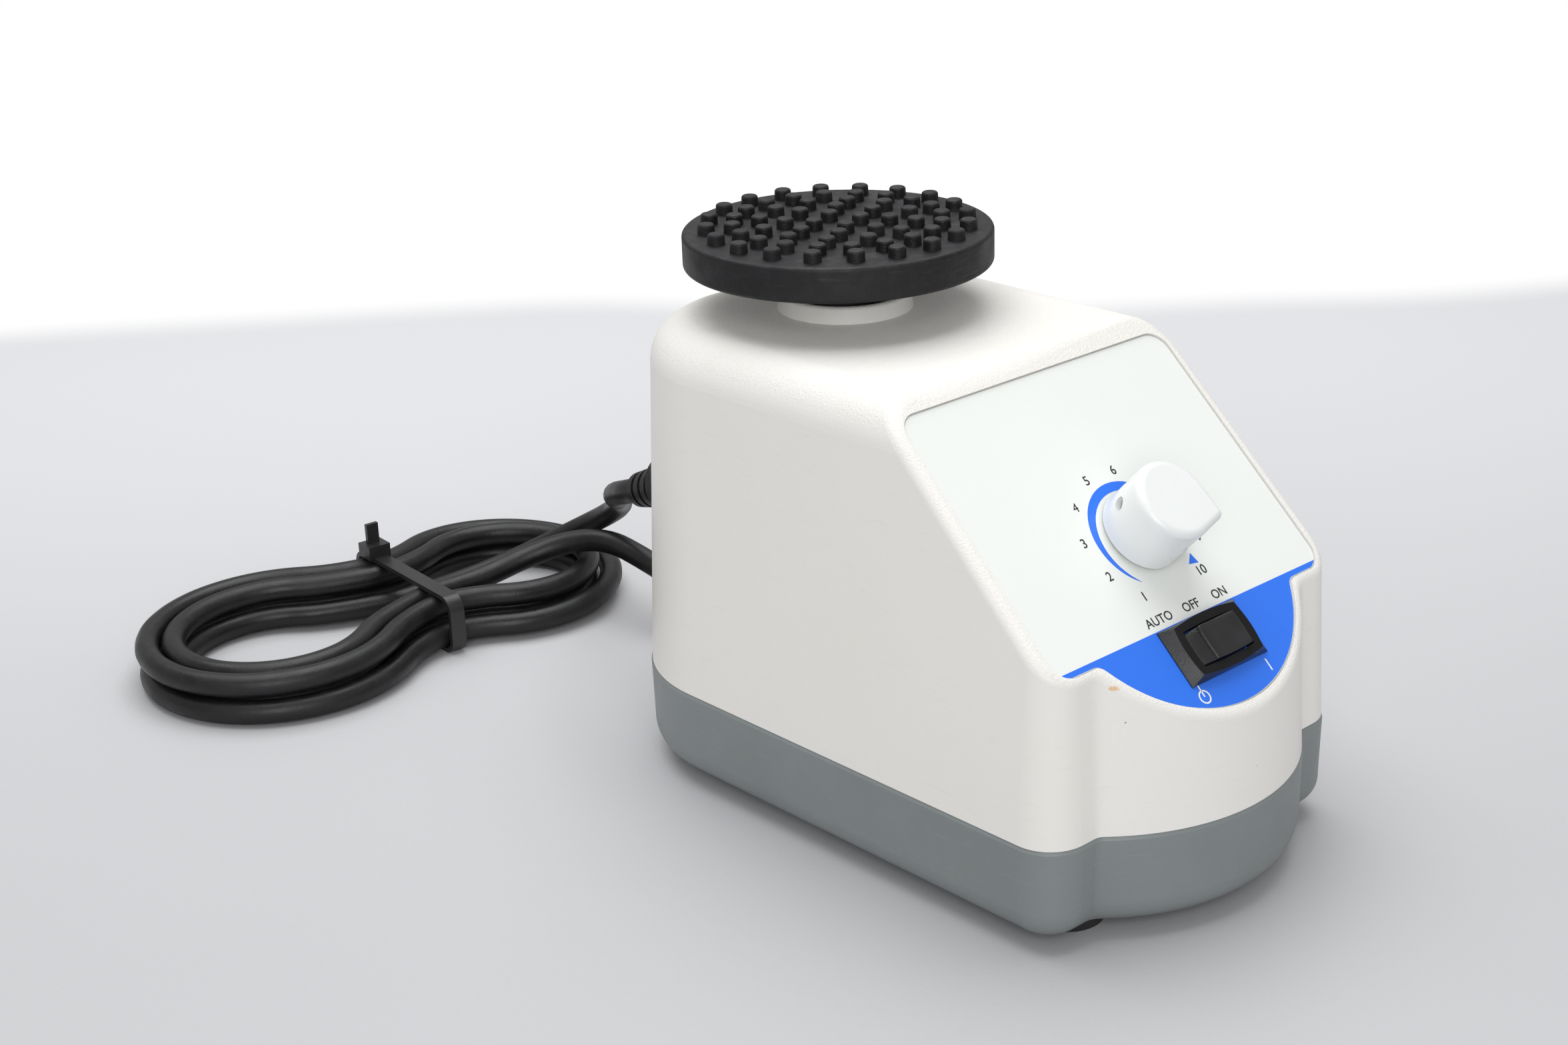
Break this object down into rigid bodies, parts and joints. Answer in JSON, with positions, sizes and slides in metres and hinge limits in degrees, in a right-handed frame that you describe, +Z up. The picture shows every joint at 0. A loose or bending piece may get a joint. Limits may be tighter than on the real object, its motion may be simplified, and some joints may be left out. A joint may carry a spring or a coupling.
{
  "type": "vortex mixer",
  "caption": "Bench vortex mixer: wedge-shaped case with a sloped control panel, an orbiting rubber platform on a sprung motor carriage, a speed knob and a rocker switch.",
  "frame": {"origin": "middle of the object's footprint, on the surface that its feet stand on", "axes": "+Z up, -Y towards the user who faces the control panel, +X to that user's right"},
  "size_m": [0.2301, 0.3169, 0.1394],
  "materials": {
    "white_case": "fine bead-blast texture, warm white",
    "grey_base": "satin mid grey",
    "foot_rubber": "matt black",
    "steel": "bright zinc",
    "panel_print": "printed film, pale with a blue lower field",
    "switch_black": "gloss black",
    "brass": "tinned brass",
    "plated_brass": "plated brass",
    "white_knob": "gloss white",
    "board_green": "solder mask",
    "board_parts": "moulded parts",
    "cast_bracket": "die cast",
    "laminations": "varnished steel laminations",
    "copper": "enamelled copper",
    "cast_iron": "rough cast",
    "neck_black": "satin black",
    "platform_rubber": "matt black rubber with scuffs",
    "cord_rubber": "satin black",
    "tie_nylon": "black nylon"
  },
  "bodies": {
    "case": {"upper_housing": "white_case", "base_pan": "grey_base", "rubber_feet": "foot_rubber", "foot_screws": "steel", "case_screws": "steel", "panel_overlay": "panel_print", "switch_frame": "switch_black", "switch_terminals": "brass", "potentiometer": "steel", "pot_nut": "steel", "control_board": "board_green", "board_parts": "board_parts", "guide_posts": "steel", "post_nuts": "steel", "carriage_springs": "steel", "touch_switch": "switch_black", "strain_relief": "cord_rubber", "mains_lead": "cord_rubber", "lead_hank": "cord_rubber", "lead_tail": "cord_rubber", "cable_tie": "tie_nylon", "plug_body": "cord_rubber", "plug_pins": "plated_brass"},
    "carriage": {"lower_bracket": "cast_bracket", "upper_bracket": "cast_bracket", "stator_core": "laminations", "stator_windings": "copper", "bracket_spacers": "steel", "motor_bolts": "steel", "lower_bearing": "steel", "upper_bearing": "steel"},
    "rotor": {"motor_shaft": "steel", "rotor_core": "laminations", "cooling_fan": "switch_black", "eccentric": "steel", "eccentric_screw": "steel", "counterweight": "cast_iron"},
    "head": {"head_bearing": "steel", "platform_hub": "neck_black", "platform_plate": "cast_bracket", "platform_screw": "steel", "platform_pad": "platform_rubber"},
    "knob": {"speed_knob": "white_knob", "pot_shaft": "steel", "knob_set_screw": "steel"},
    "rocker": {"rocker": "switch_black"},
    "lever": {"touch_lever": "steel"}
  },
  "joints": [
    {"name": "head_press", "type": "slide", "parent": "case", "child": "carriage", "axis": [0, 0, -1], "range_m": [0, 0.0015], "stiffness_N_per_m": 3000, "springref_m": -0.01, "deforming": ["carriage_springs"]},
    {"name": "motor_spin", "type": "hinge", "parent": "carriage", "child": "rotor", "pos_m": [0, 0.0425, 0.06], "axis": [0, 0, 1], "continuous": true},
    {"name": "head_orbit", "type": "hinge", "parent": "rotor", "child": "head", "pos_m": [-0.0011, 0.04352, 0.12], "axis": [0, 0, 1], "continuous": true},
    {"name": "touch_lever", "type": "hinge", "parent": "case", "child": "lever", "pos_m": [0.03, 0.0425, 0.0252], "axis": [0, 1, 0], "range_deg": [-4.8, 0]},
    {"name": "speed_knob", "type": "hinge", "parent": "case", "child": "knob", "pos_m": [0, -0.05702, 0.08782], "axis": [0, -0.6884, 0.7254], "range_deg": [-16, 270]},
    {"name": "power_rocker", "type": "hinge", "parent": "case", "child": "rocker", "pos_m": [0, -0.07251, 0.06071], "axis": [0, 0.7254, 0.6884], "range_deg": [-11, 11]}
  ],
  "couplings": [
    {"joint": "head_orbit", "follows": "motor_spin", "ratio": -1},
    {"joint": "touch_lever", "follows": "head_press", "rad_per_m": -52.6}
  ]
}
